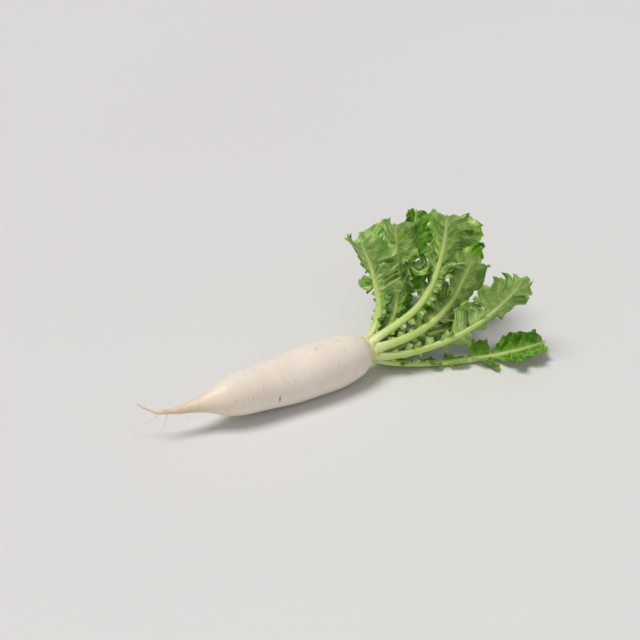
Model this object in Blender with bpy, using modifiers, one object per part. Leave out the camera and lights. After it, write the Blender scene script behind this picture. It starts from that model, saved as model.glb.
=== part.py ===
"""A daikon radish pulled with its leaves on, lying on its side.

The root lies along X with its tail at -X and its crown at +X.  The origin is on the small flat
where the belly bears on the table, which is the plane z = 0.  Lengths in the tables are
millimetres; everything is put into the scene in metres.
"""

import math

import bmesh
import bpy
import numpy as np

MM = 0.001

# ---------------------------------------------------------------- driving dimensions
BELLY_RADIUS = 30.1  # the root at its fattest
FLAT_DEPTH = 0.5  # how much of the belly's underside the table flattens
AXIS_HEIGHT = BELLY_RADIUS - FLAT_DEPTH  # the root's centre line above the table
GAP = 0.3  # clearance between neighbouring pieces
BLADE_THICKNESS = 0.6  # a fresh radish leaf
FLOOR_CLEARANCE = 0.15  # a leaf that lies on the table

# ---------------------------------------------------------------- the root
# x, y and height of the centre line, and the radius there, from the tail's tip to the crown end.
ROOT_STATIONS = [
    (-190, 26.0, 43.0, 0.9),
    (-183, 19.5, 38.5, 1.0),
    (-175, 13.5, 34.0, 1.4),
    (-167, 11.0, 33.5, 2.6),
    (-158, 9.0, 32.0, 3.4),
    (-146, 6.5, 31.8, 5.0),
    (-128, 3.5, 32.5, 8.6),
    (-113, 1.0, 33.3, 14.4),
    (-99, 0.0, 33.0, 20.4),
    (-80, 0.0, 31.8, 24.2),
    (-50, 0.0, 30.2, 26.3),
    (-15, 0.0, 28.6, 28.9),
    (12, 0.0, AXIS_HEIGHT, BELLY_RADIUS),
    (38, 0.0, 29.1, 29.4),
    (56, 0.0, 29.8, 27.4),
    (68, 0.0, 30.4, 24.8),
    (76, 0.0, 30.8, 21.8),
    (81, 0.0, 31.0, 18.6),
    (84, 0.0, 31.0, 15.0),
]
ROOT_STEPS = 3  # rings between two stations
ROOT_BEVEL = 8  # gives the root 20 sides

# ---------------------------------------------------------------- the crown
CROWN_HEIGHT = 31.0  # its centre line, where the root's ends
# Distance along +X and radius, from the centre of its back face out and round to its middle.
CROWN_PROFILE = [
    (84.3, 0.0),
    (84.3, 13.6),
    (85.6, 15.8),
    (88.2, 16.2),
    (92.6, 8.2),
    (94.9, 7.8),
    (95.6, 2.4),
    (95.7, 0.0),
]
CROWN_STEPS = 20

# ---------------------------------------------------------------- the leaves
# Leaf stalks spring from two rings on the crown: x of the ring, its radius, the angle at which a
# stalk leans out from +X, the stalk's radius at the crown and its radius at the leaf's tip.
RINGS = {
    "outer": (91.0, 12.5, 28.0, 4.3, 0.7),
    "inner": (96.0, 5.8, 10.0, 3.2, 0.6),
}
# name: ring, angle round the ring (0 on top, 90 at +Y), length of the first Bezier handle, the
# other handle's point, the tip, twist of the blade in degrees, longest side lobe, terminal lobe's
# half width, share of the length that is bare stalk, seed.
LEAVES = {
    "floor": ("outer", 205, 42, (200, -56, 0), (283, -76, 14), -75, 26, 25, 0.34, 1),
    "sweep": ("outer", 255, 50, (240, -50, 36), (258, -52, 98), 10, 30, 27, 0.42, 2),
    "arc": ("outer", 300, 52, (198, -16, 44), (222, -10, 116), 0, 30, 28, 0.44, 12),
    "tall": ("outer", 345, 55, (178, -6, 56), (190, -8, 176), -20, 32, 30, 0.44, 3),
    "left": ("outer", 30, 40, (116, 22, 84), (112, 44, 142), -45, 26, 26, 0.38, 4),
    "rear": ("outer", 75, 50, (150, 62, 70), (176, 118, 102), -45, 30, 30, 0.40, 5),
    "flop": ("outer", 117, 55, (170, 70, 30), (226, 128, 8), 80, 30, 28, 0.40, 6),
    "under": ("outer", 160, 50, (196, 30, 4), (276, 56, 10), 0, 28, 28, 0.40, 7),
    "slim": ("inner", 300, 42, (182, -24, 37), (214, -30, 44), 10, 15, 15, 0.44, 8),
    "mid": ("inner", 30, 50, (142, 22, 96), (150, 34, 158), -50, 30, 28, 0.42, 11),
    "arch": ("inner", 120, 50, (172, 46, 78), (204, 66, 146), 15, 30, 28, 0.42, 9),
    "inner": ("inner", 210, 50, (234, 26, 46), (262, 36, 124), -35, 27, 28, 0.44, 10),
}
STALK_POINTS = 15
STALK_BEVEL = 2
PAIRS = 3  # pairs of side lobes on a leaf
FIRST_LOBE_SHARE = 0.5  # the smallest lobe's length as a share of the longest
TERMINAL_SHARE = 0.72  # where the terminal lobe starts, as a share of the leaf's length
LOBE_LEAN = 62.0  # degrees between the midrib and a side lobe's middle
LOBE_FAN = 20.0  # degrees from a side lobe's middle to either edge
WING = 2.6  # width of the green edge between two lobes
LOBE_LINES = 7
TERMINAL_LINES = 7
SIDE_STEPS = 2  # faces from the midrib to the margin


def clear_scene():
    for item in list(bpy.data.objects):
        bpy.data.objects.remove(item, do_unlink=True)


def make_collection(name):
    group = bpy.data.collections.new(name)
    bpy.context.scene.collection.children.link(group)
    return group


def make_material(name, colour, roughness):
    material = bpy.data.materials.new(name)
    material.use_nodes = True
    shader = material.node_tree.nodes["Principled BSDF"]
    shader.inputs["Base Color"].default_value = (*colour, 1.0)
    shader.inputs["Roughness"].default_value = roughness
    shader.inputs["Metallic"].default_value = 0.0
    return material


def add_object(name, data, material, group):
    made = bpy.data.objects.new(name, data)
    data.materials.append(material)
    group.objects.link(made)
    return made


def smooth_rows(rows, steps):
    """A Catmull-Rom curve through the rows, with this many steps between two of them."""
    rows = np.array(rows, float)
    ends = np.vstack([2 * rows[0] - rows[1], rows, 2 * rows[-1] - rows[-2]])
    t = np.arange(steps)[:, None] / steps
    pieces = []
    for before, start, end, after in zip(ends, ends[1:], ends[2:], ends[3:]):
        pieces.append(
            start
            + 0.5 * t * (end - before)
            + t**2 * (before - 2.5 * start + 2 * end - 0.5 * after)
            + t**3 * (1.5 * (start - end) + 0.5 * (after - before))
        )
    return np.vstack([*pieces, rows[-1:]])


def tube(name, centres, radii, sides, material, group):
    """A round tube on a polyline, with its own radius at each point and closed ends."""
    curve = bpy.data.curves.new(name, "CURVE")
    curve.dimensions = "3D"
    curve.bevel_depth = MM
    curve.bevel_resolution = sides
    curve.use_fill_caps = True
    spline = curve.splines.new("POLY")
    spline.points.add(len(centres) - 1)
    for point, centre, radius in zip(spline.points, centres, radii):
        point.co = (*(centre * MM), 1.0)
        point.radius = radius
    return add_object(name, curve, material, group)


def as_mesh(item, group):
    """The object's evaluated shape as a mesh object in its place, with its caps welded on."""
    bpy.context.view_layer.update()
    graph = bpy.context.evaluated_depsgraph_get()
    mesh = bpy.data.meshes.new_from_object(item.evaluated_get(graph))
    name = item.name
    place = item.matrix_world.copy()
    bpy.data.objects.remove(item, do_unlink=True)
    made = bpy.data.objects.new(name, mesh)
    made.matrix_world = place
    group.objects.link(made)
    work = bmesh.new()
    work.from_mesh(mesh)
    bmesh.ops.remove_doubles(work, verts=work.verts, dist=MM / 100)
    work.to_mesh(mesh)
    work.free()
    return made


# ---------------------------------------------------------------- root and crown
def build_root(material, group):
    """A tapering tube on a bent centre line, with its underside cut flat where it bears."""
    rows = smooth_rows(ROOT_STATIONS, ROOT_STEPS)
    root = as_mesh(tube("root", rows[:, :3], rows[:, 3], ROOT_BEVEL, material, group), group)
    work = bmesh.new()
    work.from_mesh(root.data)
    everything = work.verts[:] + work.edges[:] + work.faces[:]
    cut = bmesh.ops.bisect_plane(
        work, geom=everything, plane_co=(0, 0, 0), plane_no=(0, 0, -1), clear_outer=True
    )
    rim = [part for part in cut["geom_cut"] if isinstance(part, bmesh.types.BMEdge)]
    bmesh.ops.holes_fill(work, edges=rim)
    work.to_mesh(root.data)
    work.free()
    root.data.shade_smooth()
    root.data.set_sharp_from_angle(angle=math.radians(40))
    return root


def build_crown(material, group):
    """The short stem that carries the leaves: a turned shape on the root's centre line."""
    mesh = bpy.data.meshes.new("crown")
    points = [(x * MM, 0.0, radius * MM) for x, radius in CROWN_PROFILE]
    mesh.from_pydata(points, [(i, i + 1) for i in range(len(points) - 1)], [])
    crown = add_object("crown", mesh, material, group)
    crown.location.z = CROWN_HEIGHT * MM
    turn = crown.modifiers.new("turn", "SCREW")
    turn.axis = "X"
    turn.steps = turn.render_steps = CROWN_STEPS
    turn.use_merge_vertices = True
    turn.merge_threshold = MM / 100
    turn.use_normal_flip = True
    return crown


# ---------------------------------------------------------------- leaves
def leaf_route(ring, turn, handle, knee, tip):
    """The line of a stalk and midrib, a cubic Bezier out of the crown, and its first normal."""
    ring_x, ring_radius, lean = RINGS[ring][:3]
    turn, lean = math.radians(turn), math.radians(lean)
    outward = np.array([0.0, math.sin(turn), math.cos(turn)])
    start = np.array([ring_x, 0.0, CROWN_HEIGHT]) + ring_radius * outward
    heading = np.array([math.cos(lean), 0.0, 0.0]) + math.sin(lean) * outward
    bends = [start, start + handle * heading, np.array(knee, float), np.array(tip, float)]
    t = np.linspace(0, 1, 12 * STALK_POINTS)[:, None]
    line = (1 - t) ** 3 * bends[0] + 3 * (1 - t) ** 2 * t * bends[1]
    line = line + 3 * (1 - t) * t**2 * bends[2] + t**3 * bends[3]
    along = np.concatenate([[0], np.cumsum(np.linalg.norm(np.diff(line, axis=0), axis=1))])
    even = np.linspace(0, along[-1], 8 * STALK_POINTS)
    line = np.stack([np.interp(even, along, line[:, k]) for k in range(3)], axis=1)
    return line, along[-1], -outward


def frames(line, first_normal, twist):
    """Tangent, upper-side normal and left direction along a line, turning as little as they can
    and then twisted about the line by an angle that grows towards the tip."""
    tangents = np.gradient(line, axis=0)
    tangents /= np.linalg.norm(tangents, axis=1, keepdims=True)
    normal = first_normal
    normals = []
    for tangent in tangents:
        normal = normal - normal.dot(tangent) * tangent
        normal = normal / np.linalg.norm(normal)
        normals.append(normal)
    normals = np.array(normals)
    lefts = np.cross(normals, tangents)
    angle = np.radians(twist) * np.linspace(0, 1, len(line))[:, None] ** 1.5
    turned = normals * np.cos(angle) + lefts * np.sin(angle)
    return tangents, turned, np.cross(turned, tangents)


def blade_lines(longest, terminal, bare, seed):
    """The lines that fan out of the midrib to the margin, on the left and on the right.

    Each row is the line's start as a share of the leaf's length, then for either side its angle
    from the midrib, its length, and the tilt and curl of the lobe that it belongs to.
    """
    chance = np.random.default_rng(seed)
    rows = []
    centres = np.linspace(bare, TERMINAL_SHARE - 0.10, PAIRS)
    half_base = 0.32 * (centres[1] - centres[0])
    for n, centre in enumerate(centres):
        grown = FIRST_LOBE_SHARE + (1 - FIRST_LOBE_SHARE) * (n / (PAIRS - 1)) ** 0.8
        reach = longest * grown * chance.uniform(0.85, 1.1, 2)
        lean = LOBE_LEAN + chance.uniform(-4, 4, 2)
        tilt = chance.uniform(0, 24, 2)
        curl = chance.uniform(-24, 16, 2)
        for q in np.linspace(-1, 1, LOBE_LINES):
            length = np.maximum(reach * math.cos(q * math.pi / 2) ** 0.45, WING)
            angle = lean - q * LOBE_FAN
            rows.append([centre + q * half_base, *angle, *length, *tilt, *curl])
    tilt = chance.uniform(-5, 22, 2)
    curl = chance.uniform(-30, 20, 2)
    for q in np.linspace(0, 1, TERMINAL_LINES):
        start = TERMINAL_SHARE + (1 - TERMINAL_SHARE) * q
        length = max(terminal * math.sin(math.pi * min(1.0, 0.05 + 0.95 * q**0.75)) ** 0.6, 0.8)
        angle = 78.0 - 44.0 * q
        rows.append([start, angle, angle, length, length, *tilt, *curl])
    return np.array(rows)


def blade_points(route, length, normal, twist, stalk_radii, lines):
    """Grid of points, one row for each fan line and one column for each step across the leaf.

    A point is laid out flat by its distance along and across the midrib, then bent: across, each
    lobe tilts and curls about the midrib; along, it follows the midrib's own curve.
    """
    step = np.linspace(-1, 1, 2 * SIDE_STEPS + 1)
    left = step[None, :] > 0
    start, angle_l, angle_r, reach_l, reach_r, tilt_l, tilt_r, curl_l, curl_r = lines.T[:, :, None]
    angle = np.radians(np.where(left, angle_l, angle_r))
    reach = np.where(left, reach_l, reach_r)
    tilt = np.radians(np.where(left, tilt_l, tilt_r))
    curl = np.radians(np.where(left, curl_l, curl_r))
    out = np.abs(step)[None, :] * reach
    along = start * length + out * np.cos(angle)
    across = out * np.sin(angle)
    radius = np.interp(start, np.linspace(0, 1, len(stalk_radii)), stalk_radii)
    flat = np.minimum(across, radius + 1.0)
    free = across - flat
    bend = tilt + curl * free / np.maximum(reach, 1.0)
    sideways = np.sign(step)[None, :] * (flat + free * np.cos(bend))
    height = radius + GAP + BLADE_THICKNESS + free * np.sin(bend)
    tangents, normals, lefts = frames(route, normal, twist)
    where = np.linspace(0, length, len(route))
    inside = np.clip(along, 0, length)

    def at(values):
        return np.stack([np.interp(inside, where, values[:, k]) for k in range(3)], axis=-1)

    points = at(route) + (along - inside)[..., None] * tangents[-1]
    points = points + sideways[..., None] * at(lefts) + height[..., None] * at(normals)
    points[..., 2] = np.maximum(points[..., 2], BLADE_THICKNESS + FLOOR_CLEARANCE)
    return points


def build_blade(name, points, material, group):
    """The leaf's green sheet: a grid shaped to the points, given its thickness from beneath."""
    rows, columns = points.shape[:2]
    work = bmesh.new()
    bmesh.ops.create_grid(work, x_segments=columns - 1, y_segments=rows - 1, size=1.0)
    work.verts.ensure_lookup_table()
    for vertex, point in zip(work.verts, points.reshape(-1, 3)):
        vertex.co = point * MM
    mesh = bpy.data.meshes.new(name)
    work.to_mesh(mesh)
    work.free()
    blade = add_object(name, mesh, material, group)
    sheet = blade.modifiers.new("thickness", "SOLIDIFY")
    sheet.thickness = BLADE_THICKNESS * MM
    sheet.offset = -1
    return blade


def build_leaf(name, leaf, stalk_material, blade_material, group):
    ring, turn, handle, knee, tip, twist, longest, terminal, bare, seed = leaf
    base_radius, tip_radius = RINGS[ring][3:]
    route, length, normal = leaf_route(ring, turn, handle, knee, tip)
    share = np.linspace(0, 1, len(route))
    radii = tip_radius + (base_radius - tip_radius) * (1 - share**2)
    picked = np.linspace(0, len(route) - 1, STALK_POINTS).astype(int)
    lines = blade_lines(longest, terminal, bare, seed)
    points = blade_points(route, length, normal, twist, radii, lines)
    tube(f"{name}_stalk", route[picked], radii[picked], STALK_BEVEL, stalk_material, group)
    build_blade(f"{name}_blade", points, blade_material, group)


def main():
    clear_scene()
    group = make_collection("daikon_radish")
    root_material = make_material("root_skin", (0.80, 0.72, 0.60), 0.45)
    crown_material = make_material("crown_green", (0.45, 0.50, 0.16), 0.55)
    stalk_material = make_material("stalk_green", (0.42, 0.58, 0.16), 0.42)
    blade_material = make_material("leaf_green", (0.12, 0.28, 0.05), 0.50)
    build_root(root_material, group)
    build_crown(crown_material, group)
    for name, leaf in LEAVES.items():
        build_leaf(f"leaf_{name}", leaf, stalk_material, blade_material, group)


main()
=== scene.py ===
"""A daikon radish laid on a pale table as it was pulled, on its side with its leaves on.

Lengths in the tables are millimetres.  The root lies along X, its tail at -X and its crown at
+X, and the table is z = 0.
"""

import math

import bpy
import numpy as np
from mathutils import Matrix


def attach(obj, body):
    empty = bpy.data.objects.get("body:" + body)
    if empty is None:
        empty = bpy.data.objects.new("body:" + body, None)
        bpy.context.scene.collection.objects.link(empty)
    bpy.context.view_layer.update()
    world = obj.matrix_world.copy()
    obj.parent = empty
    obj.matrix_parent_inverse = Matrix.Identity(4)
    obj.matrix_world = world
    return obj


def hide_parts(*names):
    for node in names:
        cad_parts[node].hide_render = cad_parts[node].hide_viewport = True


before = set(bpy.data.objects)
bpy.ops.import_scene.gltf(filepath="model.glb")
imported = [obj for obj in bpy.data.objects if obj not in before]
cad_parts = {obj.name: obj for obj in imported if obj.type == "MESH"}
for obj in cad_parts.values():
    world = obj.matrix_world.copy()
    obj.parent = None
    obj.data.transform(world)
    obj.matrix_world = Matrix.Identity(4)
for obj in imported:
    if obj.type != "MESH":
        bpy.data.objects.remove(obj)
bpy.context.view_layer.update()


# ------------------------------------------------------------------ table, light and camera
# A pale matt laminate table under a broad soft sun from above the tail end, with a weak one in
# front for the belly, so that all of the table is lit evenly.  The camera looks down on the belly
# at 30 degrees.
def linear(code):
    """An sRGB hex colour as the linear RGBA that a shader takes."""
    parts = [int(code[k : k + 2], 16) / 255 for k in (1, 3, 5)]
    return [*(p / 12.92 if p < 0.04 else ((p + 0.055) / 1.055) ** 2.4 for p in parts), 1.0]


def add(tree, kind, inputs=(), **settings):
    """Adds a node and fills its inputs, each with a value, a hex colour or a node's output."""
    node = tree.nodes.new(kind)
    for name, value in settings.items():
        setattr(node, name, value)
    for key, value in dict(inputs).items():
        if isinstance(value, bpy.types.NodeSocket):
            tree.links.new(value, node.inputs[key])
        else:
            node.inputs[key].default_value = linear(value) if isinstance(value, str) else value
    return node


def new_material(name, roughness, ior=1.45):
    """A material with one Principled shader, and its tree and shader."""
    material = bpy.data.materials.new(name)
    material.use_nodes = True
    shader = material.node_tree.nodes["Principled BSDF"]
    shader.inputs["Roughness"].default_value = roughness
    shader.inputs["IOR"].default_value = ior
    return material, material.node_tree, shader


def layer_colours(tree, shader, base, *layers):
    """Builds the shader's base colour up from one colour by layers, each a share from 0 to 1 and
    the colour that covers what lies below by that share."""
    # A colour Mix node takes its share at 0 and its colours at 6 and 7, and gives the mix at 2.
    colour = base
    for share, cover in layers:
        mixed = add(tree, "ShaderNodeMix", {0: share, 6: colour, 7: cover}, data_type="RGBA")
        colour = mixed.outputs[2]
    tree.links.new(colour, shader.inputs["Base Color"])


def grid_faces(rows, columns, closed):
    """Quads of a grid whose points are listed row by row; closed joins its last column to its
    first."""
    here = np.arange(rows * columns).reshape(rows, columns)
    if closed:
        here = np.hstack([here, here[:, :1]])
    corners = [here[:-1, :-1], here[1:, :-1], here[1:, 1:], here[:-1, 1:]]
    return np.stack(corners, axis=-1).reshape(-1, 4)


MM = 0.001  # in metres


def new_piece(name, points, faces, *materials):
    """A smooth-shaded mesh object from points in millimetres and lists of corner numbers."""
    mesh = bpy.data.meshes.new(name)
    mesh.from_pydata((np.reshape(points, (-1, 3)) * MM).tolist(), [], faces)
    mesh.shade_smooth()
    for material in materials:
        mesh.materials.append(material)
    piece = bpy.data.objects.new(name, mesh)
    bpy.context.scene.collection.objects.link(piece)
    return piece


TABLE_HALF, TABLE_LINES = 45000.0, 7  # half its side, wide enough for low views, and grid lines

# Matt laminate scatters light evenly, and a faint speckle keeps it from looking flat.
table_top, tree, shader = new_material("pale matt laminate", 0.6)
speckle = add(tree, "ShaderNodeTexNoise", {"Scale": 60.0, "Detail": 4.0})
layer_colours(tree, shader, "#dddee0", (speckle.outputs[0], "#e2e4e5"))
edge = np.linspace(-TABLE_HALF, TABLE_HALF, TABLE_LINES)
across, away = np.meshgrid(edge, edge, indexing="ij")
table_points = np.stack([across, away, 0 * across], axis=-1)
table_faces = grid_faces(TABLE_LINES, TABLE_LINES, False)
table = new_piece("table", table_points, table_faces.tolist(), table_top)


LAMP_AIM = np.array([0.03, 0.0, 0.05])  # the middle of the daikon, in metres


def soft_sun(name, place, colour, strength, spread):
    """A sun that shines from a place towards the daikon.  Its spread is the angle that its disc
    fills, in radians: the wider it is, the softer the shadows."""
    light = bpy.data.lights.new(name, "SUN")
    light.color = linear(colour)[:3]
    light.energy = strength
    light.angle = spread
    sun = bpy.data.objects.new(name, light)
    sun.location = place
    aim = LAMP_AIM - place
    tilt = math.atan2(math.hypot(aim[0], aim[1]), -aim[2])
    sun.rotation_euler = (tilt, 0.0, math.atan2(aim[1], aim[0]) - math.pi / 2)
    bpy.context.scene.collection.objects.link(sun)


soft_sun("broad overhead", (-0.50, 0.20, 1.30), "#fffaf5", 2.3, 0.5)
soft_sun("front fill", (-0.50, -1.30, 0.70), "#fff6ec", 0.4, 1.2)

bpy.context.scene.view_settings.view_transform = "Standard"
world = bpy.data.worlds.new("studio")
bpy.context.scene.world = world
world.use_nodes = True
background = world.node_tree.nodes["Background"]
background.inputs["Color"].default_value = linear("#f3f2f0")
background.inputs["Strength"].default_value = 0.30

VIEW_TURN, VIEW_DROP = math.radians(33), math.radians(30)  # from +Y towards +X, and below level
CAMERA_PLACE = (-0.6285, -1.0024, 0.7810)  # in metres
LENS = 70.9  # focal length in millimetres
camera_data = bpy.data.cameras.new("camera")
camera_data.lens = LENS
camera = bpy.data.objects.new("camera", camera_data)
camera.location = CAMERA_PLACE
camera.rotation_euler = (math.pi / 2 - VIEW_DROP, 0.0, -VIEW_TURN)
bpy.context.scene.collection.objects.link(camera)
bpy.context.scene.camera = camera


# ------------------------------------------------------------------ root
# The swollen tap root: crisp wet flesh under a thin waxy skin, ivory white, browner towards the
# tail.  It grew in one piece: a long barrel that narrows to a kinked tail and ends in a thread.

# x, y and height of the centre line, and the radius there, from the tail's tip to the crown end.
ROOT_STATIONS = [
    (-190, 26.0, 43.0, 0.8),
    (-183, 19.5, 38.5, 1.0),
    (-175, 13.5, 34.0, 1.4),
    (-167, 11.0, 33.5, 2.6),
    (-158, 9.0, 32.0, 3.4),
    (-146, 6.5, 31.8, 5.0),
    (-128, 3.5, 32.5, 8.6),
    (-113, 1.0, 33.3, 14.4),
    (-99, 0.0, 33.0, 20.4),
    (-80, 0.0, 31.8, 24.2),
    (-50, 0.0, 30.2, 26.3),
    (-15, 0.0, 28.6, 28.9),
    (12, 0.0, 29.6, 30.1),
    (38, 0.0, 29.1, 29.4),
    (56, 0.0, 29.8, 27.4),
    (68, 0.0, 30.4, 24.8),
    (76, 0.0, 30.8, 21.8),
    (81.5, 0.0, 31.0, 18.0),
    (85, 0.0, 31.0, 13.6),
]
ROOT_RINGS, ROOT_SIDES = 560, 168
SCARS, TAIL_SCARS = 46, 16  # scars all along the root, and more on its tail half
SCAR_ROWS = (-62.0, 118.0)  # side roots break out in two rows, degrees round from the top
# The healed nick on the flank and two rubbed spots: x, degrees round from the top, length along
# and round in mm, depth.
NICKS = [(-46, -97, 0.7, 2.6, 0.5), (15, -8, 1.8, 1.5, 0.1), (47, -4, 1.5, 1.3, 0.12)]


def smooth_rows(rows, steps):
    """A Catmull-Rom curve through the rows, with this many steps between two of them."""
    rows = np.array(rows, float)
    ends = np.vstack([2 * rows[0] - rows[1], rows, 2 * rows[-1] - rows[-2]])
    t = np.tile(np.arange(steps)[:, None] / steps, (len(rows) - 1, 1))
    before, start, end, after = (
        np.repeat(ends[k : k + len(rows) - 1], steps, axis=0) for k in range(4)
    )
    curve = start + 0.5 * t * (end - before)
    curve += t**2 * (before - 2.5 * start + 2 * end - 0.5 * after)
    curve += t**3 * (1.5 * (start - end) + 0.5 * (after - before))
    return np.vstack([curve, rows[-1:]])


def evenly(rows, count):
    """The rows resampled at equal steps along the line of their first three columns, and the
    distance along it."""
    leaps = np.linalg.norm(np.diff(rows[:, :3], axis=0), axis=1)
    along = np.concatenate([[0], np.cumsum(leaps)])
    even = np.linspace(0, along[-1], count)
    picked = [np.interp(even, along, rows[:, k]) for k in range(rows.shape[1])]
    return np.stack(picked, axis=1), even


def around(line):
    """Tangents along a line that never stands upright, and the up and left directions square
    to it."""
    tangents = np.gradient(line, axis=0)
    tangents /= np.linalg.norm(tangents, axis=1, keepdims=True)
    left = np.cross([0.0, 0.0, 1.0], tangents)
    left /= np.linalg.norm(left, axis=1, keepdims=True)
    return tangents, np.cross(tangents, left), left


def tube_piece(name, tubes, *materials):
    """One tube or several alike as one piece.  Each is a grid of rings of points that turn from
    up to left, and each end is closed by one face."""
    tubes = np.reshape(tubes, (-1, *np.shape(tubes)[-3:]))
    count, rows, columns = tubes.shape[:3]
    first = np.arange(count)[:, None] * rows * columns
    walls = (grid_faces(rows, columns, True) + first[..., None]).reshape(-1, 4)
    ring = np.arange(columns)
    ends = np.vstack([first + ring, first + rows * columns - 1 - ring])
    return new_piece(name, tubes, walls.tolist() + ends.tolist(), *materials)


def store(piece, name, values):
    """Keeps one number a point on the piece, for its material to read."""
    layer = piece.data.attributes.new(name, "FLOAT", "POINT")
    layer.data.foreach_set("value", np.ravel(values).astype(np.float32))


root_rows, along = evenly(smooth_rows(ROOT_STATIONS, steps=40), ROOT_RINGS)
_, root_ups, root_lefts = around(root_rows[:, :3])
x, radius = root_rows[:, :1], root_rows[:, 3:]
turn = np.linspace(0, 2 * math.pi, ROOT_SIDES, endpoint=False)[None, :]
far = along[:, None]
# Three slow waves make the barrel a little out of round, fine ones ring it, and creases run into
# the shoulder and ring the tail.
plump = radius / 30
relief = plump * 0.30 * np.sin(2 * turn + far / 38)
relief += plump * 0.18 * np.sin(3 * turn - far / 23 + 1.0)
relief += plump * 0.12 * np.sin(5 * turn + far / 14 + 2.0)
relief += 0.045 * plump * np.sin(far / 0.9 + 2.2 * np.sin(turn + far / 31))
relief += 0.035 * plump * np.sin(far / 1.7 + 3.0 * np.sin(2 * turn - far / 47) + 1.0)
relief += 0.35 * np.clip((x - 66) / 18, 0, 1) ** 2 * np.sin(9 * turn + 0.4 * np.sin(far / 9))
relief += 0.25 * np.clip((-118 - x) / 20, 0, 1) * np.sin(far / 3.1 + 1.5 * np.sin(turn))
# Each scar is a short dent laid across the root, with a raised lip around it.
chance = np.random.default_rng(5)
scar_x = np.concatenate([chance.uniform(-150, 74, SCARS), chance.uniform(-150, -70, TAIL_SCARS)])
scar_turn = np.where(chance.random(scar_x.size) < 0.5, *SCAR_ROWS)
scar_turn = np.radians(scar_turn + chance.normal(0, 17, scar_x.size))
scar_long = chance.uniform(0.25, 0.45, scar_x.size)
scar_wide = chance.uniform(0.5, 2.0, scar_x.size)
scar_deep = chance.uniform(0.03, 0.16, scar_x.size)
nick = np.array(NICKS, float).T
scar_x, scar_turn = np.append(scar_x, nick[0]), np.append(scar_turn, np.radians(nick[1]))
scar_long, scar_wide = np.append(scar_long, nick[2]), np.append(scar_wide, nick[3])
scar_deep = np.append(scar_deep, nick[4])
bend = (turn[..., None] - scar_turn + math.pi) % (2 * math.pi) - math.pi
reach = ((x[..., None] - scar_x) / scar_long) ** 2
reach = reach + (bend * np.maximum(radius[..., None], 3) / scar_wide) ** 2
scars = np.exp(-0.5 * reach)
relief -= (scar_deep * (scars - 0.35 * np.exp(-0.12 * reach))).sum(axis=-1)
marks = (scar_deep / 0.45 * scars).sum(axis=-1)

skin_radius = (radius + relief)[..., None]
skin = root_rows[:, None, :3] + skin_radius * (
    np.cos(turn)[..., None] * root_ups[:, None] + np.sin(turn)[..., None] * root_lefts[:, None]
)
skin[..., 2] = np.maximum(skin[..., 2], 0.0)

# Waxy living skin over wet white flesh: light goes a few millimetres in, which softens the
# shading, and the skin's own gloss is broad.  Clouds 36 mm wide warm it, streaks 2.4 mm apart
# ring it, and its grain is 0.6 mm.
radish_skin, tree, shader = new_material("waxy radish skin", 0.40, 1.42)
place = add(tree, "ShaderNodeTexCoord").outputs["Object"]
ringed = add(tree, "ShaderNodeMapping", {"Vector": place, "Scale": (1.0, 0.22, 0.22)})
cloudy = add(tree, "ShaderNodeTexNoise", {"Vector": place, "Scale": 28.0, "Detail": 3.0})
streaks = add(
    tree, "ShaderNodeTexNoise", {"Vector": ringed.outputs[0], "Scale": 420.0, "Detail": 4.0}
)
grain = add(tree, "ShaderNodeTexNoise", {"Vector": place, "Scale": 1600.0, "Detail": 2.0})
split = add(tree, "ShaderNodeSeparateXYZ", {0: place})
to_tail = add(
    tree,
    "ShaderNodeMapRange",
    {"Value": split.outputs["X"], "From Min": -0.07, "From Max": -0.17, "To Max": 0.75},
    interpolation_type="SMOOTHSTEP",
)
to_crown = add(
    tree,
    "ShaderNodeMapRange",
    {"Value": split.outputs["X"], "From Min": 0.074, "From Max": 0.086, "To Max": 0.6},
    interpolation_type="SMOOTHSTEP",
)
warm = add(
    tree,
    "ShaderNodeMapRange",
    {"Value": cloudy.outputs[0], "From Min": 0.48, "From Max": 0.75, "To Max": 0.55},
)
streak_share = add(
    tree,
    "ShaderNodeMapRange",
    {"Value": streaks.outputs[0], "From Min": 0.52, "From Max": 0.78, "To Max": 0.35},
)
scar = add(tree, "ShaderNodeAttribute", attribute_name="scar")
# Lenticels, the skin's breathing pores, are short buff dashes that lie across the root.
pores = add(tree, "ShaderNodeTexVoronoi", {"Vector": ringed.outputs[0], "Scale": 150.0})
pore = add(
    tree,
    "ShaderNodeMapRange",
    {"Value": pores.outputs["Distance"], "From Min": 0.10, "From Max": 0.05, "To Max": 0.5},
)
layer_colours(
    tree,
    shader,
    "#f2e9df",
    (warm.outputs[0], "#eddac5"),
    (streak_share.outputs[0], "#e2d2ba"),
    (to_tail.outputs[0], "#dcc69c"),
    (to_crown.outputs[0], "#d6d8a0"),
    (pore.outputs[0], "#b89a72"),
    (scar.outputs["Fac"], "#8f6b45"),
)
shader.inputs["Subsurface Weight"].default_value = 0.25
shader.inputs["Subsurface Radius"].default_value = (1.0, 0.75, 0.5)
shader.inputs["Subsurface Scale"].default_value = 0.003
gloss = add(
    tree,
    "ShaderNodeMapRange",
    {"Value": streaks.outputs[0], "From Min": 0.3, "From Max": 0.7, "To Min": 0.34, "To Max": 0.5},
)
tree.links.new(gloss.outputs[0], shader.inputs["Roughness"])
heights = add(
    tree, "ShaderNodeMath", {0: streaks.outputs[0], 1: grain.outputs[0]}, operation="ADD"
)
bump = add(
    tree,
    "ShaderNodeBump",
    {"Height": heights.outputs[0], "Strength": 0.22, "Distance": 0.00025},
)
tree.links.new(bump.outputs[0], shader.inputs["Normal"])

root = tube_piece("daikon_root", skin, radish_skin)
store(root, "scar", np.clip(marks, 0, 1))
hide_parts("root")
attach(root, "root")


# ------------------------------------------------------------------ rootlets
# Hair roots left on the tail and along the flank: threads of the same flesh, dried pale and stiff.
# Each starts just under the skin that it grew out through.

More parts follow.
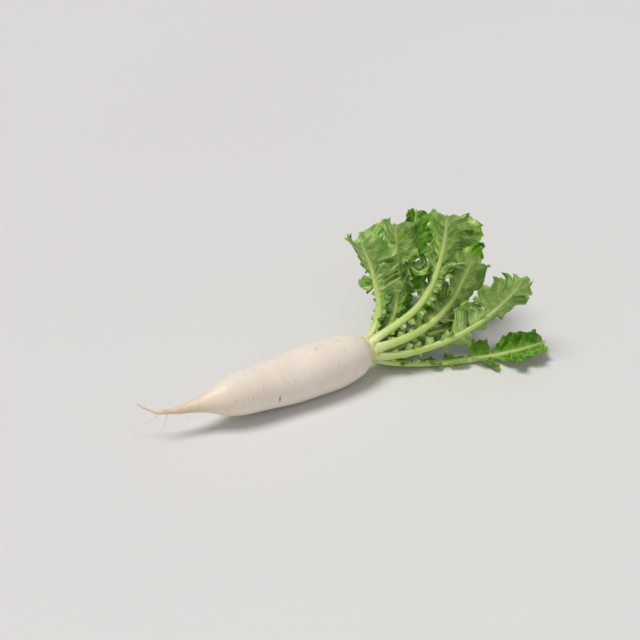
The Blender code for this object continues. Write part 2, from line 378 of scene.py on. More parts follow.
# x, degrees round from the top, length, droop, sideways sweep and radius at the skin.
ROOTLETS = [
    (-172, 150, 34, -12, 16, 0.42),
    (-163, -150, 22, -9, -7, 0.35),
    (-151, 110, 16, -4, 8, 0.30),
    (-142, -110, 13, -5, -6, 0.30),
    (-131, -75, 10, -3, -5, 0.26),
    (-122, 128, 11, -4, 5, 0.26),
    (-104, -72, 7, -2, -3, 0.22),
    (-66, -58, 5, -1, -2, 0.18),
    (-31, -66, 4, -1, 2, 0.16),
]
HAIR_RINGS, HAIR_SIDES = 26, 8


def bezier(bends, count):
    """Points of a cubic Bezier curve with these four bends, at equal steps of its parameter."""
    t = np.linspace(0, 1, count)[:, None]
    line = (1 - t) ** 3 * bends[0] + 3 * (1 - t) ** 2 * t * bends[1]
    return line + 3 * (1 - t) * t**2 * bends[2] + t**3 * bends[3]


def hair(start, outward, length, droop, sweep, thick):
    """A tapering thread along a Bezier curve: it leaves outward, then bends towards the tail and
    down, and a sine wave makes it waver towards its tip."""
    bends = [
        start - 0.8 * outward,
        start + 0.30 * length * outward,
        start + 0.45 * length * outward + [-0.35 * length, 0.4 * sweep, 0.4 * droop],
        start + 0.40 * length * outward + [-0.80 * length, sweep, droop],
    ]
    t = np.linspace(0, 1, HAIR_RINGS)[:, None]
    line = bezier(bends, HAIR_RINGS) + 0.25 * np.sin(t * 17 + length) * t * [0.2, 0.6, 1.0]
    line[:, 2] = np.maximum(line[:, 2], 0.4)
    _, ups, lefts = around(line)
    ring = np.linspace(0, 2 * math.pi, HAIR_SIDES, endpoint=False)[None, :, None]
    size = thick * (1 - 0.75 * t)[:, None, :]
    return line[:, None] + size * (np.cos(ring) * ups[:, None] + np.sin(ring) * lefts[:, None])


# Dried root skin is dull, and cream that turns to straw in patches.
rootlet_skin, tree, shader = new_material("dried rootlet skin", 0.55)
place = add(tree, "ShaderNodeTexCoord").outputs["Object"]
dry = add(tree, "ShaderNodeTexNoise", {"Vector": place, "Scale": 180.0})
layer_colours(tree, shader, "#efe6d3", (dry.outputs[0], "#d4bd94"))
shader.inputs["Subsurface Weight"].default_value = 0.2
shader.inputs["Subsurface Scale"].default_value = 0.001

hairs = []
for spot, degrees, *shape in ROOTLETS:
    k = int(np.argmin(abs(root_rows[:, 0] - spot)))
    angle = math.radians(degrees)
    outward = math.cos(angle) * root_ups[k] + math.sin(angle) * root_lefts[k]
    hairs.append(hair(root_rows[k, :3] + root_rows[k, 3] * outward, outward, *shape))
rootlets = tube_piece("rootlets", hairs, rootlet_skin)
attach(rootlets, "root")


# ------------------------------------------------------------------ crown
# The plant's whole stem, squeezed into a knob between root and leaves: firm green flesh, ringed
# by the corky scars of leaves that were shed.  The root's shoulder runs into its skirt.
CROWN_HEIGHT = 31.0
CROWN_SIDES = 120
CROWN_PROFILE = [  # x and radius
    (81.8, 12.4),
    (83.6, 14.2),
    (85.6, 14.5),
    (87.8, 13.8),
    (90.4, 12.5),
    (92.8, 10.4),
    (95.2, 8.8),
    (97.0, 6.4),
    (98.0, 3.0),
    (98.2, 0.4),
]

profile = smooth_rows(CROWN_PROFILE, steps=9)
turn = np.linspace(0, 2 * math.pi, CROWN_SIDES, endpoint=False)[None, :]
x, radius = profile[:, :1], profile[:, 1:]
# Leaf scars ring the knob every 1.5 mm, and lumps run along it where leaves stood.
scar_rings = 0.35 * np.abs(np.sin(2.1 * (x - 83) + 0.5 * np.sin(7 * turn)))
lumps = 0.5 * np.sin(7 * turn + 0.6) + 0.3 * np.sin(13 * turn + x)
size = radius * (1 + 0.03 * lumps) + scar_rings * np.clip(radius / 10, 0, 1)
knob = np.stack(
    [x + 0 * turn, size * np.sin(turn), CROWN_HEIGHT + size * np.cos(turn)], axis=-1
)
# Stem flesh is firm and dull, greener away from the root, with rough brown cork in patches of
# 4 mm where it healed.
crown_flesh, tree, shader = new_material("green stem flesh with corky scars", 0.52)
place = add(tree, "ShaderNodeTexCoord").outputs["Object"]
split = add(tree, "ShaderNodeSeparateXYZ", {0: place})
patches = add(tree, "ShaderNodeTexNoise", {"Vector": place, "Scale": 260.0, "Detail": 5.0})
greening = add(
    tree,
    "ShaderNodeMapRange",
    {"Value": split.outputs["X"], "From Min": 0.084, "From Max": 0.092},
    interpolation_type="SMOOTHSTEP",
)
corky = add(
    tree,
    "ShaderNodeMapRange",
    {"Value": patches.outputs[0], "From Min": 0.54, "From Max": 0.68, "To Max": 0.7},
)
layer_colours(
    tree, shader, "#e2e0b0", (greening.outputs[0], "#bccb68"), (corky.outputs[0], "#a8965a")
)
shader.inputs["Subsurface Weight"].default_value = 0.15
shader.inputs["Subsurface Scale"].default_value = 0.002
bump = add(
    tree, "ShaderNodeBump", {"Height": patches.outputs[0], "Strength": 0.5, "Distance": 0.0006}
)
tree.links.new(bump.outputs[0], shader.inputs["Normal"])
crown = tube_piece("daikon_crown", knob, crown_flesh)
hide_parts("crown")
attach(crown, "root")

# Dried bases of shed leaves stand between the stalks: degrees round the crown from the top, x,
# length and half width.
STUBS = np.array(
    [
        (6, 86.4, 8.5, 2.6),
        (54, 87.0, 6.0, 3.2),
        (97, 86.4, 9.5, 2.4),
        (139, 86.8, 6.5, 3.0),
        (184, 86.4, 8.0, 2.8),
        (229, 87.2, 6.5, 3.3),
        (252, 85.8, 4.5, 2.2),
        (279, 86.6, 7.5, 2.5),
        (323, 87.0, 6.0, 3.1),
    ]
)
STUB_RINGS, STUB_SIDES = 18, 20
STUB_SUNK = 2.0  # how far a stub starts behind its x, inside the crown
STUB_OUT = 12.4  # distance from the crown's axis to a stub's start


def stub_points(stubs):
    """Flat tapering stumps: an ellipse carried along a line that leaves the crown at about 32
    degrees and bends back towards its axis, its size falling nearly as a quarter circle."""
    turn, start, reach, wide = (stubs[:, k, None] for k in range(4))
    s = np.linspace(0, 1, STUB_RINGS)[None, :]
    side = np.linspace(0, 2 * math.pi, STUB_SIDES, endpoint=False)
    along = start - STUB_SUNK + (reach + STUB_SUNK) * s
    outward = STUB_OUT + 0.85 * reach * s - 0.30 * reach * s**2
    size = wide * np.sqrt(1.0 - 0.96 * s**2) * (1 + 0.12 * np.sin(9 * s + turn))
    angle = np.radians(turn) + 0 * s
    up = np.stack([0 * angle, np.sin(angle), np.cos(angle)], axis=-1)[:, :, None]
    left = np.stack([0 * angle, np.cos(angle), -np.sin(angle)], axis=-1)[:, :, None]
    ring = 0.5 * np.cos(side)[:, None] * up + np.sin(side)[:, None] * left
    centre = np.stack([along, 0 * along, CROWN_HEIGHT + 0 * along], axis=-1)[:, :, None]
    return centre + outward[..., None, None] * up + size[..., None, None] * ring


stubs = tube_piece("shed_leaf_bases", stub_points(STUBS), crown_flesh)
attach(stubs, "root")


# ------------------------------------------------------------------ leaf stalks
# Each leaf's stalk runs on as its midrib: crisp, juicy, pale green and stringy, wider than deep,
# with a groove down the side that faces the other leaves.  Its foot clasps the crown.

# x of the ring of feet, its radius, the lean from +X in degrees, radius at the foot and at the tip.
RINGS = {
    "outer": (91.0, 12.5, 28.0, 4.3, 0.7),
    "inner": (96.0, 5.8, 10.0, 3.2, 0.6),
}
# name: ring, angle round the ring (0 on top, 90 at +Y), length of the first Bezier handle, the
# other handle's point, the tip, twist of the blade in degrees, longest side lobe, terminal lobe's
# half width, share of the length that is bare stalk, seeds of its outline and of its folds.
LEAVES = {
    "floor": ("outer", 205, 42, (200, -56, 0), (283, -76, 14), -75, 26, 25, 0.34, 1, 1),
    "sweep": ("outer", 255, 50, (240, -50, 36), (258, -52, 98), 10, 30, 27, 0.42, 2, 2),
    "arc": ("outer", 300, 52, (198, -16, 44), (222, -10, 116), 0, 30, 28, 0.44, 12, 12),
    "tall": ("outer", 345, 55, (178, -6, 56), (190, -8, 176), -20, 32, 30, 0.44, 3, 3),
    "left": ("outer", 30, 40, (116, 22, 84), (112, 44, 142), -45, 26, 26, 0.38, 4, 4),
    "rear": ("outer", 75, 50, (150, 62, 70), (176, 118, 102), -45, 30, 30, 0.40, 5, 30),
    "flop": ("outer", 117, 55, (170, 70, 30), (226, 128, 8), 80, 30, 28, 0.40, 6, 6),
    "under": ("outer", 160, 50, (196, 30, 4), (276, 56, 10), 0, 28, 28, 0.40, 7, 7),
    "slim": ("inner", 300, 42, (182, -24, 37), (214, -30, 44), 10, 15, 15, 0.44, 8, 27),
    "mid": ("inner", 30, 50, (142, 22, 96), (150, 34, 158), -50, 30, 28, 0.42, 11, 11),
    "arch": ("inner", 120, 50, (172, 46, 78), (204, 66, 146), 15, 30, 28, 0.42, 9, 45),
    "inner": ("inner", 210, 50, (234, 26, 46), (262, 36, 124), -35, 27, 28, 0.44, 10, 20),
}
ROUTE_POINTS = 240
STALK_SIDES = 36
FOOT, FOOT_RINGS = 8.0, 8  # how far a stalk's foot is sunk in the crown, and its rings
NOD, NOD_FROM = 10.0, 60.0  # how far a leaf's tip hangs back, where it is higher than this
STRAND_STEP = 0.7  # how far round the stalk two of its corners lie, on the map of its strands


def leaf_route(ring, turn, handle, knee, tip):
    """The line of a stalk and midrib, a cubic Bezier out of the crown, its length, the radius
    along it, and the upper side's direction at its foot."""
    ring_x, ring_radius, lean, base_radius, tip_radius = RINGS[ring]
    turn, lean = math.radians(turn), math.radians(lean)
    outward = np.array([0.0, math.sin(turn), math.cos(turn)])
    start = np.array([ring_x, 0.0, CROWN_HEIGHT]) + ring_radius * outward
    heading = np.array([math.cos(lean), 0.0, 0.0]) + math.sin(lean) * outward
    bends = [start, start + handle * heading, np.array(knee, float), np.array(tip, float)]
    line, along = evenly(bezier(bends, 4 * ROUTE_POINTS), ROUTE_POINTS)
    share = along / along[-1]
    radii = tip_radius + (base_radius - tip_radius) * (1 - share**2)
    return line, along[-1], radii, -outward


def leaf_frames(line, first_normal, twist):
    """Tangents, upper-side normals and left directions along a line.  Each normal is the last
    one with its share along the line taken out, and a twist grows towards the tip."""
    tangents = np.gradient(line, axis=0)
    tangents /= np.linalg.norm(tangents, axis=1, keepdims=True)
    normal = first_normal
    normals = []
    for tangent in tangents:
        normal = normal - normal.dot(tangent) * tangent
        normal = normal / np.linalg.norm(normal)
        normals.append(normal)
    normals = np.array(normals)
    lefts = np.cross(normals, tangents)
    angle = np.radians(twist) * np.linspace(0, 1, len(line))[:, None] ** 1.5
    turned = normals * np.cos(angle) + lefts * np.sin(angle)
    return tangents, turned, np.cross(turned, tangents)


def stalk_points(line, radii, tangents, normals, lefts):
    """Rings round the line: an ellipse wider than deep, with ribs, a groove on the upper side
    and a foot that widens and sinks into the crown."""
    sunk = np.linspace(FOOT, 0, FOOT_RINGS, endpoint=False)[:, None]
    line = np.vstack([line[0] - sunk * tangents[0], line])
    normals = np.vstack([np.repeat(normals[:1], FOOT_RINGS, axis=0), normals])
    lefts = np.vstack([np.repeat(lefts[:1], FOOT_RINGS, axis=0), lefts])
    radii = np.concatenate([np.full(FOOT_RINGS, radii[0]), radii])[:, None]
    share = np.clip((np.arange(len(line)) - FOOT_RINGS) / ROUTE_POINTS, 0, 1)[:, None]
    ring = np.linspace(0, 2 * math.pi, STALK_SIDES, endpoint=False)[None, :]
    foot = np.exp(-((share / 0.07) ** 2))
    wide = radii * (1.10 + 0.30 * foot)
    deep = radii * (0.90 - 0.12 * foot)
    up = np.maximum(np.sin(ring), 0)
    groove = 0.42 * np.exp(-((np.cos(ring) / 0.38) ** 2)) * up * (1 - 0.5 * share)
    ribs = 1 + 0.02 * np.cos(11 * ring) * (1 - share)
    sideways = wide * np.cos(ring) * ribs
    height = deep * np.sin(ring) * (1 - groove) * ribs
    return (
        line[:, None] + sideways[..., None] * lefts[:, None] + height[..., None] * normals[:, None]
    )


# Stalk skin: glossy wet green over pale strands, 0.6 mm apart, that run its whole length, nearly
# white at the foot, with a slight glow from the juice inside.
stalk_skin, tree, shader = new_material("juicy radish stalk", 0.36, 1.4)
place = add(tree, "ShaderNodeTexCoord").outputs["Object"]
route_map = add(tree, "ShaderNodeUVMap", uv_map="strands").outputs[0]
strand_map = add(tree, "ShaderNodeMapping", {"Vector": route_map, "Scale": (0.02, 1.0, 1.0)})
strands = add(
    tree, "ShaderNodeTexNoise", {"Vector": strand_map.outputs[0], "Scale": 1.6, "Detail": 3.0}
)
patches = add(tree, "ShaderNodeTexNoise", {"Vector": place, "Scale": 45.0, "Detail": 2.0})
split = add(tree, "ShaderNodeSeparateXYZ", {0: route_map})
pale_foot = add(
    tree,
    "ShaderNodeMapRange",
    {"Value": split.outputs[0], "From Min": 26.0, "From Max": -2.0, "To Max": 0.8},
    interpolation_type="SMOOTHSTEP",
)
strand_share = add(
    tree,
    "ShaderNodeMapRange",
    {"Value": strands.outputs[0], "From Min": 0.42, "From Max": 0.7, "To Max": 0.6},
)
patch_share = add(
    tree,
    "ShaderNodeMapRange",
    {"Value": patches.outputs[0], "From Min": 0.4, "From Max": 0.7, "To Max": 0.7},
)
layer_colours(
    tree,
    shader,
    "#c2da7c",
    (patch_share.outputs[0], "#abcb5e"),
    (strand_share.outputs[0], "#dbe8a8"),
    (pale_foot.outputs[0], "#e2e8b4"),
)
shader.inputs["Subsurface Weight"].default_value = 0.25
shader.inputs["Subsurface Radius"].default_value = (0.8, 1.0, 0.4)
shader.inputs["Subsurface Scale"].default_value = 0.002
bump = add(
    tree, "ShaderNodeBump", {"Height": strands.outputs[0], "Strength": 0.35, "Distance": 0.0004}
)
tree.links.new(bump.outputs[0], shader.inputs["Normal"])


def store_map(piece, name, corner_values):
    """Keeps a pair of numbers for each face corner as the piece's UV map."""
    layer = piece.data.uv_layers.new(name=name)
    layer.data.foreach_set("uv", np.ravel(corner_values).astype(np.float32))


routes = {}
for name, (ring, turn, handle, knee, tip, twist, *shape) in LEAVES.items():
    line, length, radii, normal = leaf_route(ring, turn, handle, knee, tip)
    # Only the last 28 % of the line nods, more and more towards the tip.
    hang = np.clip(np.linspace(-2.6, 1, ROUTE_POINTS), 0, 1)[:, None] ** 2 * (tip[2] > NOD_FROM)
    line = line - NOD * hang * leaf_frames(line, normal, twist)[1]
    tangents, normals, lefts = leaf_frames(line, normal, twist)
    routes[name] = (line, length, radii, tangents, normals, lefts, shape)
    rings = stalk_points(line, radii, tangents, normals, lefts)
    stalk = tube_piece(f"{name}_leaf_stalk", rings[:, ::-1], stalk_skin)
    corners = np.empty(len(stalk.data.loops), np.int32)
    stalk.data.loops.foreach_get("vertex_index", corners)
    run = (corners // STALK_SIDES - FOOT_RINGS) * length / ROUTE_POINTS
    store_map(stalk, "strands", np.stack([run, corners % STALK_SIDES * STRAND_STEP], axis=1))
    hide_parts(f"leaf_{name}_stalk")
    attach(stalk, "root")


# ------------------------------------------------------------------ leaf blades
# The green of each leaf, thin, soft and veined: four pairs of leaflets low on the stalk, three of
# side lobes that grow towards the tip, and a broad end lobe, all toothed and ruffled.  They grow
# from the midrib's two edges, on the side that faces the other leaves.
PAIRS = 3  # pairs of side lobes
LEAFLETS = (0.32, 0.24, 0.17, 0.10)  # how far before the first lobes, as shares of the length
LEAFLET_LEAN, LEAFLET_FAN = 70.0, 30.0  # as LOBE_LEAN and LOBE_FAN, for a leaflet
FIRST_LOBE_SHARE = 0.5  # the smallest lobe's length as a share of the longest
TERMINAL_SHARE = 0.72  # where the end lobe starts
LOBE_LEAN = 62.0  # degrees between the midrib and a side lobe's middle
LOBE_FAN = 24.0  # degrees from a side lobe's middle to either edge
WING = 2.0  # the green edge between two lobes
LOBE_LINES, LEAFLET_LINES, END_LINES = 51, 17, 96  # lines in a side lobe, a leaflet, the end lobe
HALF_COLUMNS = 14  # steps along a line from the midrib to the margin
LEAFLET_TEETH, LOBE_TEETH, END_TEETH = 5.0, 4.8, 6.3  # teeth on each, or on half the end lobe
THICKNESS = 0.38
AGE_STEP = 0.38  # a leaf's age from 0 to 1 is its seed times this, less whole numbers
RUFFLE, RUFFLE_LENGTH = 3.0, 17.0  # height and length of the waves along a margin
RIPPLE, RIPPLE_LENGTH = 1.2, 7.3  # and of the lesser waves on them
BULGE = 1.5  # height of the bulges between the veins
WAVES, WAVE_HEIGHT, WAVE_LENGTHS = 6, 1.9, (24, 60)  # slow waves through the whole leaf
SIDE_VEIN_STEP = 11.0  # along a lobe's middle vein
# The columns that leaf_lines gives.  Those named from ANGLE to CURL, and LEAN, are each two
# columns, the left half's and then the right half's.
LOBE, START, ANGLE, REACH, TILT, CURL, MIDDLE, LEAN = 0, 1, 2, 4, 6, 8, 10, 11


def toothed(place, sizes):
    """Saw teeth that lean towards the tip, one a unit, each with its own size."""
    part = place % 1.0
    tooth = np.where(part < 0.7, part / 0.7, (1 - part) / 0.3)
    return sizes[np.floor(place).astype(int) % len(sizes)] * tooth


def leaf_lines(longest, terminal, bare, seed, fold_seed):
    """Lines that fan out of the midrib to the margin, one a row: lobe number, share of the
    length where it starts, then left and right angle, length, tilt and curl, and the share and
    angle of its lobe's own middle vein."""
    chance = np.random.default_rng(seed)
    trim = np.random.default_rng(100 + fold_seed)
    rows = []
    centres = np.linspace(bare, TERMINAL_SHARE - 0.10, PAIRS)
    half_base = 0.32 * (centres[1] - centres[0])
    # A leaflet is a small oval on a narrow base, with five teeth.
    for n, before in enumerate(LEAFLETS):
        centre = max(bare - before, 0.08)
        reach = trim.uniform(0.25, 0.4, 2) * (0.8 + 0.27 * n) * longest
        lean = LEAFLET_LEAN + trim.uniform(-12, 12, 2)
        q = np.linspace(-1, 1, LEAFLET_LINES)[:, None]
        length = np.maximum(reach * np.cos(q * math.pi / 2) ** 0.5, 0.3)
        length = length * (1 + 0.2 * toothed(LEAFLET_TEETH / 2 * (q + 1), trim.uniform(0.3, 1, 6)))
        block = [n + 0 * q, centre + 0.010 * q, lean - q * LEAFLET_FAN, length]
        block += [trim.uniform(0, 60, 2) + 0 * q, trim.uniform(-70, 50, 2) + 0 * q]
        rows.append(np.hstack([*block, centre + 0 * q, lean + 0 * q]))
    # A side lobe is a fan of lines from a stretch of the midrib, longest down its middle.
    for n, centre in enumerate(centres):
        grown = FIRST_LOBE_SHARE + (1 - FIRST_LOBE_SHARE) * (n / (PAIRS - 1)) ** 0.8
        reach = longest * grown * chance.uniform(0.85, 1.1, 2)
        lean = LOBE_LEAN + chance.uniform(-4, 4, 2)
        tilt, curl = chance.uniform(0, 24, 2), chance.uniform(-24, 16, 2)
        reach, lean = reach * trim.uniform(0.85, 1.22, 2), lean + trim.uniform(-9, 9, 2)
        tilt, curl = tilt + trim.uniform(0, 26, 2), curl + trim.uniform(-45, 25, 2)
        q = np.linspace(-1, 1, LOBE_LINES)[:, None]
        length = reach * np.maximum(np.cos(q * math.pi / 2), 1e-6) ** 0.45
        size = 1.2 + 0.10 * reach
        place = LOBE_TEETH / 2 * (q + 1) + 7
        cut = np.hstack([toothed(place, trim.uniform(0.35, 1, 9)) for _ in range(2)])
        length = np.maximum(length + size * cut * (1 - q**6), WING)
        block = [n + len(LEAFLETS) + 0 * q, centre + q * half_base, lean - q * LOBE_FAN, length]
        block += [tilt + 0 * q, curl + 0 * q, centre + 0 * q, lean + 0 * q]
        rows.append(np.hstack(block))
    # The end lobe's lines turn from nearly square to the midrib to nearly along it at the tip.
    tilt, curl = chance.uniform(-5, 22, 2), chance.uniform(-30, 20, 2)
    tilt, curl = tilt + trim.uniform(0, 22, 2), curl + trim.uniform(-35, 15, 2)
    q = np.linspace(0, 1, END_LINES)[:, None]
    start = TERMINAL_SHARE + (1 - TERMINAL_SHARE) * q
    body = np.sin(math.pi * np.minimum(1.0, 0.05 + 0.95 * q**0.75)) ** 0.6
    cut = np.hstack([toothed(END_TEETH * q + 5, trim.uniform(0.35, 1, 11)) for _ in range(2)])
    length = np.maximum(terminal * body + 5.0 * cut * (1 - q**4), 0.8 + 6.5 * q**3)
    angle = 78.0 - 40.0 * q - 37.0 * q**14 + np.zeros(2)
    block = [PAIRS + len(LEAFLETS) + 0 * q, start, angle, length, tilt + 0 * q, curl + 0 * q]
    rows.append(np.hstack([*block, TERMINAL_SHARE + 0 * q, np.zeros(2) + 0 * q]))
    return np.vstack(rows)


def blade_points(route, rows, fold_seed):
    """Upper and lower skins of a blade, its flat pattern, and how close each point is to the
    midrib.  Along a line the flat point goes out by its length; then the lobe tilts, curls and
    ruffles, more towards the margin, and the midrib's own curve carries it."""
    line, length, radii, tangents, normals, lefts = route[:6]
    chance = np.random.default_rng(200 + fold_seed)
    step = np.linspace(-1, 1, 2 * HALF_COLUMNS + 1)[None, :]
    step = np.sign(step) * np.abs(step) ** 0.85
    side = (step > 0).astype(int)
    start = rows[:, START, None]
    angle, reach, tilt, curl, lean = (
        np.where(side, rows[:, k, None], rows[:, k + 1, None])
        for k in (ANGLE, REACH, TILT, CURL, LEAN)
    )
    out = np.abs(step) * reach
    along = start * length + out * np.cos(np.radians(angle))
    across = out * np.sin(np.radians(angle))
    radius = np.interp(start, np.linspace(0, 1, len(radii)), radii)
    # A line stays flat over the midrib's own width, and is free beyond it.
    flat = np.minimum(across, radius + 1.0)
    free = across - flat
    # The ruffle runs along the margin, so its wave counts the margin's own length.
    rim = np.stack([along[:, [0, -1]], across[:, [0, -1]]], axis=-1)
    rim = np.linalg.norm(np.diff(rim, axis=0, prepend=rim[:1]), axis=-1).cumsum(axis=0)
    rim = np.where(side, rim[:, 1:], rim[:, :1])
    swell = np.clip(out / 18, 0, 1.2) * np.abs(step) ** 1.3
    phase = chance.uniform(0, 6.28, 4)
    wander = rim + 4 * np.sin(rim / 19 + phase[3] + 3 * side)
    ruffle = swell * RUFFLE * np.sin(2 * math.pi * wander / RUFFLE_LENGTH + phase[0] + side)
    ruffle += swell * RIPPLE * np.sin(2 * math.pi * wander / RIPPLE_LENGTH + phase[1] + 2 * side)
    bulges = np.sin(along / 8.5 + phase[2]) * np.sin(across / 5.5 + phase[3])
    ruffle += BULGE * np.abs(step) * bulges
    bend = np.radians(tilt) + np.radians(curl) * free / np.maximum(reach, 1.0)
    sideways = np.sign(step) * (flat + free * np.cos(bend) - ruffle * np.sin(bend))
    height = 0.35 * radius + free * np.sin(bend) + ruffle * np.cos(bend)
    # Each lobe also turns about its own middle and folds along it.
    lean = np.radians(lean)
    off = (along - rows[:, MIDDLE, None] * length) * np.sin(lean) - across * np.cos(lean)
    lobe = rows[:, LOBE, None].astype(int)
    swing = chance.uniform(-0.7, 0.7, (lobe.max() + 1, 2))
    fold = chance.uniform(-0.15, 0.55, (lobe.max() + 1, 2))
    swing[-1], fold[-1] = 0, chance.uniform(0.0, 0.45, 2)
    height += (swing[lobe, side] * off + fold[lobe, side] * abs(off)) * np.clip(free / 10, 0, 1)
    where = np.linspace(0, length, len(line))
    inside = np.clip(along, 0, length)

    def at(values):
        return np.stack([np.interp(inside, where, values[:, k]) for k in range(3)], axis=-1)

    upper = at(line) + (along - inside)[..., None] * tangents[-1]
    upper = upper + sideways[..., None] * at(lefts) + height[..., None] * at(normals)
    # Slow waves that run through the whole leaf in all directions bunch it up.
    facing = chance.normal(0, 1, (WAVES, 3))
    facing_size = np.linalg.norm(facing, axis=1, keepdims=True)
    facing *= (2 * math.pi / chance.uniform(*WAVE_LENGTHS, (WAVES, 1))) / facing_size
    waves = np.sin(upper @ facing.T + chance.uniform(0, 6.28, WAVES))
    waves = waves @ chance.normal(0, WAVE_HEIGHT, (WAVES, 3))
    upper = upper + np.clip(free / 16, 0, 1.2)[..., None] * waves
    # The lower skin lies square to the upper one's face, and both stay above the table.
    face = np.cross(np.gradient(upper, axis=1), np.gradient(upper, axis=0))
    size = np.linalg.norm(face, axis=-1, keepdims=True)
    face = np.where(size > 1e-6, face / np.maximum(size, 1e-6), at(normals))
    face *= np.sign((face * at(normals)).sum(axis=-1, keepdims=True) + 1e-9)
    upper[..., 2] = np.maximum(upper[..., 2], THICKNESS + 0.2)
    lower = upper - THICKNESS * face
    lower[..., 2] = np.maximum(lower[..., 2], 0.1)
    flat_map = np.stack([along, np.sign(step) * across], axis=-1)
    near_rib = np.exp(-((across / (radius + 0.8)) ** 2))
    return upper, lower, flat_map, near_rib


def leaf_green(name, mid, light, dark, vein, raised):
    """Soft leaf skin, mapped in millimetres of its own lobe: a vein down the lobe's middle, side
    veins that leave it every 11 mm, and a net of fine ones 2 mm apart.  Veins are paler, stand
    proud underneath and are sunk on top.  Older leaves and patches turn to the light green."""
    material, tree, shader = new_material(name, 0.46, 1.42)
    lobe = add(tree, "ShaderNodeUVMap", uv_map="lobe").outputs[0]
    place = add(tree, "ShaderNodeTexCoord").outputs["Object"]
    wander = add(tree, "ShaderNodeTexNoise", {"Vector": lobe, "Scale": 0.16, "Detail": 2.0})
    patches = add(tree, "ShaderNodeTexNoise", {"Vector": place, "Scale": 70.0, "Detail": 3.0})
    net = add(
        tree, "ShaderNodeTexVoronoi", {"Vector": lobe, "Scale": 0.45}, feature="DISTANCE_TO_EDGE"
    )
    split = add(tree, "ShaderNodeSeparateXYZ", {0: lobe})
    off = add(tree, "ShaderNodeMath", {0: split.outputs[0]}, operation="ABSOLUTE").outputs[0]
    # Side veins leave the middle one at a slant and waver, so they follow the place along it
    # less 0.8 of the distance from it, plus a little noise.
    lag = add(
        tree,
        "ShaderNodeMath",
        {0: off, 1: -0.8, 2: split.outputs[1]},
        operation="MULTIPLY_ADD",
    )
    lag = add(
        tree,
        "ShaderNodeMath",
        {0: wander.outputs[0], 1: 5.0, 2: lag.outputs[0]},
        operation="MULTIPLY_ADD",
    )
    to_vein = {0: lag.outputs[0], 1: SIDE_VEIN_STEP / 2}
    wave = add(tree, "ShaderNodeMath", to_vein, operation="PINGPONG")
    main_vein = add(
        tree,
        "ShaderNodeMapRange",
        {"Value": off, "From Min": 0.8, "From Max": 0.2, "To Max": 0.8},
        interpolation_type="SMOOTHSTEP",
    )
    side_vein = add(
        tree,
        "ShaderNodeMapRange",
        {"Value": wave.outputs[0], "From Min": 0.55, "From Max": 0.1, "To Max": 0.65},
        interpolation_type="SMOOTHSTEP",
    )
    fine_vein = add(
        tree,
        "ShaderNodeMapRange",
        {"Value": net.outputs[0], "From Min": 0.10, "From Max": 0.02, "To Max": 0.28},
        interpolation_type="SMOOTHSTEP",
    )
    veins = main_vein
    for finer in (side_vein, fine_vein):
        both = {0: veins.outputs[0], 1: finer.outputs[0]}
        veins = add(tree, "ShaderNodeMath", both, operation="MAXIMUM")
    patch = add(
        tree, "ShaderNodeMapRange", {"Value": patches.outputs[0], "From Min": 0.35, "From Max": 0.65}
    )
    rib = add(tree, "ShaderNodeAttribute", attribute_name="near_rib").outputs["Fac"]
    shift = add(
        tree,
        "ShaderNodeMapRange",
        {"Value": wander.outputs[0], "From Min": 0.45, "From Max": 0.7, "To Max": 0.8},
    )
    ageing = add(tree, "ShaderNodeTexNoise", {"Vector": place, "Scale": 14.0, "Detail": 1.0})
    yellow = add(
        tree,
        "ShaderNodeMapRange",
        {"Value": ageing.outputs[0], "From Min": 0.48, "From Max": 0.68, "To Max": 0.4},
        interpolation_type="SMOOTHSTEP",
    )
    # An older leaf is lighter all over, by a share of up to 0.45, and in patches.
    age = add(tree, "ShaderNodeAttribute", attribute_name="age").outputs["Fac"]
    aged = add(
        tree,
        "ShaderNodeMath",
        {0: age, 1: 0.45, 2: yellow.outputs[0]},
        operation="MULTIPLY_ADD",
        use_clamp=True,
    )
    layer_colours(
        tree,
        shader,
        dark,
        (patch.outputs[0], mid),
        (shift.outputs[0], light),
        (aged.outputs[0], light),
        (veins.outputs[0], vein),
        (rib, "#b9cf7c"),
    )
    shader.inputs["Subsurface Weight"].default_value = 0.25
    shader.inputs["Subsurface Radius"].default_value = (0.5, 1.0, 0.2)
    shader.inputs["Subsurface Scale"].default_value = 0.0015
    shader.inputs["Specular IOR Level"].default_value = 0.3
    relief = add(
        tree,
        "ShaderNodeMath",
        {0: veins.outputs[0], 1: raised, 2: patches.outputs[0]},
        operation="MULTIPLY_ADD",
    )
    bump = add(
        tree, "ShaderNodeBump", {"Height": relief.outputs[0], "Strength": 0.6, "Distance": 0.0005}
    )
    tree.links.new(bump.outputs[0], shader.inputs["Normal"])
    return material


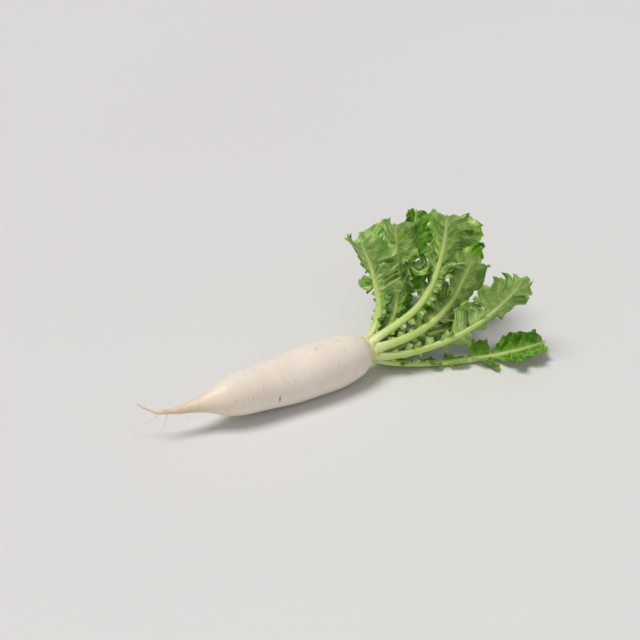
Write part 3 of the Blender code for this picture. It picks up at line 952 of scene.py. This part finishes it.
upper_skin = leaf_green("glossy upper leaf skin", "#3f8210", "#86be2a", "#1b4e06", "#a2c856", -1.0)
under_skin = leaf_green("downy leaf underside", "#74ac26", "#bddb86", "#356c0a", "#d9eba8", 1.5)

for name, route in routes.items():
    *sizes, seed, fold_seed = route[6]
    rows = leaf_lines(*sizes, seed, fold_seed)
    upper, lower, flat_map, near_rib = blade_points(route, rows, fold_seed)
    # The shell runs across the upper skin and back along the lower one, and caps close its ends.
    shell = np.concatenate([upper, lower[:, ::-1]], axis=1)
    count, columns = shell.shape[:2]
    faces = grid_faces(count, columns, True)
    half = columns // 2
    ends = np.arange(half - 1)
    cap = np.stack([ends, columns - 1 - ends, columns - 2 - ends, ends + 1], axis=1)
    faces = np.vstack([faces, cap, cap[:, ::-1] + (count - 1) * columns])
    blade = new_piece(f"{name}_leaf_blade", shell, faces.tolist(), upper_skin, under_skin)
    # Each quad of the grid takes its map from one lobe, so that veins stop at the lobe's edge.
    owner = np.repeat(rows[:-1], columns, axis=0)
    owner = np.vstack([owner, np.repeat(rows[:1], half - 1, axis=0)])
    owner = np.vstack([owner, np.repeat(rows[-1:], half - 1, axis=0)])
    flat = np.concatenate([flat_map, flat_map[:, ::-1]], axis=1).reshape(-1, 2)[faces]
    left = flat[..., 1].mean(axis=1) > 0
    base = owner[:, MIDDLE] * route[1]
    lean = np.radians(np.where(left, owner[:, LEAN], owner[:, LEAN + 1]))[:, None]
    run = flat[..., 0] - base[:, None]
    wide = np.abs(flat[..., 1])
    lobe_map = np.stack(
        [run * np.sin(lean) - wide * np.cos(lean), run * np.cos(lean) + wide * np.sin(lean)],
        axis=-1,
    )
    store_map(blade, "lobe", lobe_map)
    store(blade, "near_rib", np.concatenate([near_rib, near_rib[:, ::-1]], axis=1))
    store(blade, "age", np.full(count * columns, (seed * AGE_STEP) % 1.0))
    beneath = np.zeros(len(faces), np.int32)
    beneath[: (count - 1) * columns] = np.tile(np.arange(columns) >= half, count - 1)
    blade.data.polygons.foreach_set("material_index", beneath)
    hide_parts(f"leaf_{name}_blade")
    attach(blade, "root")
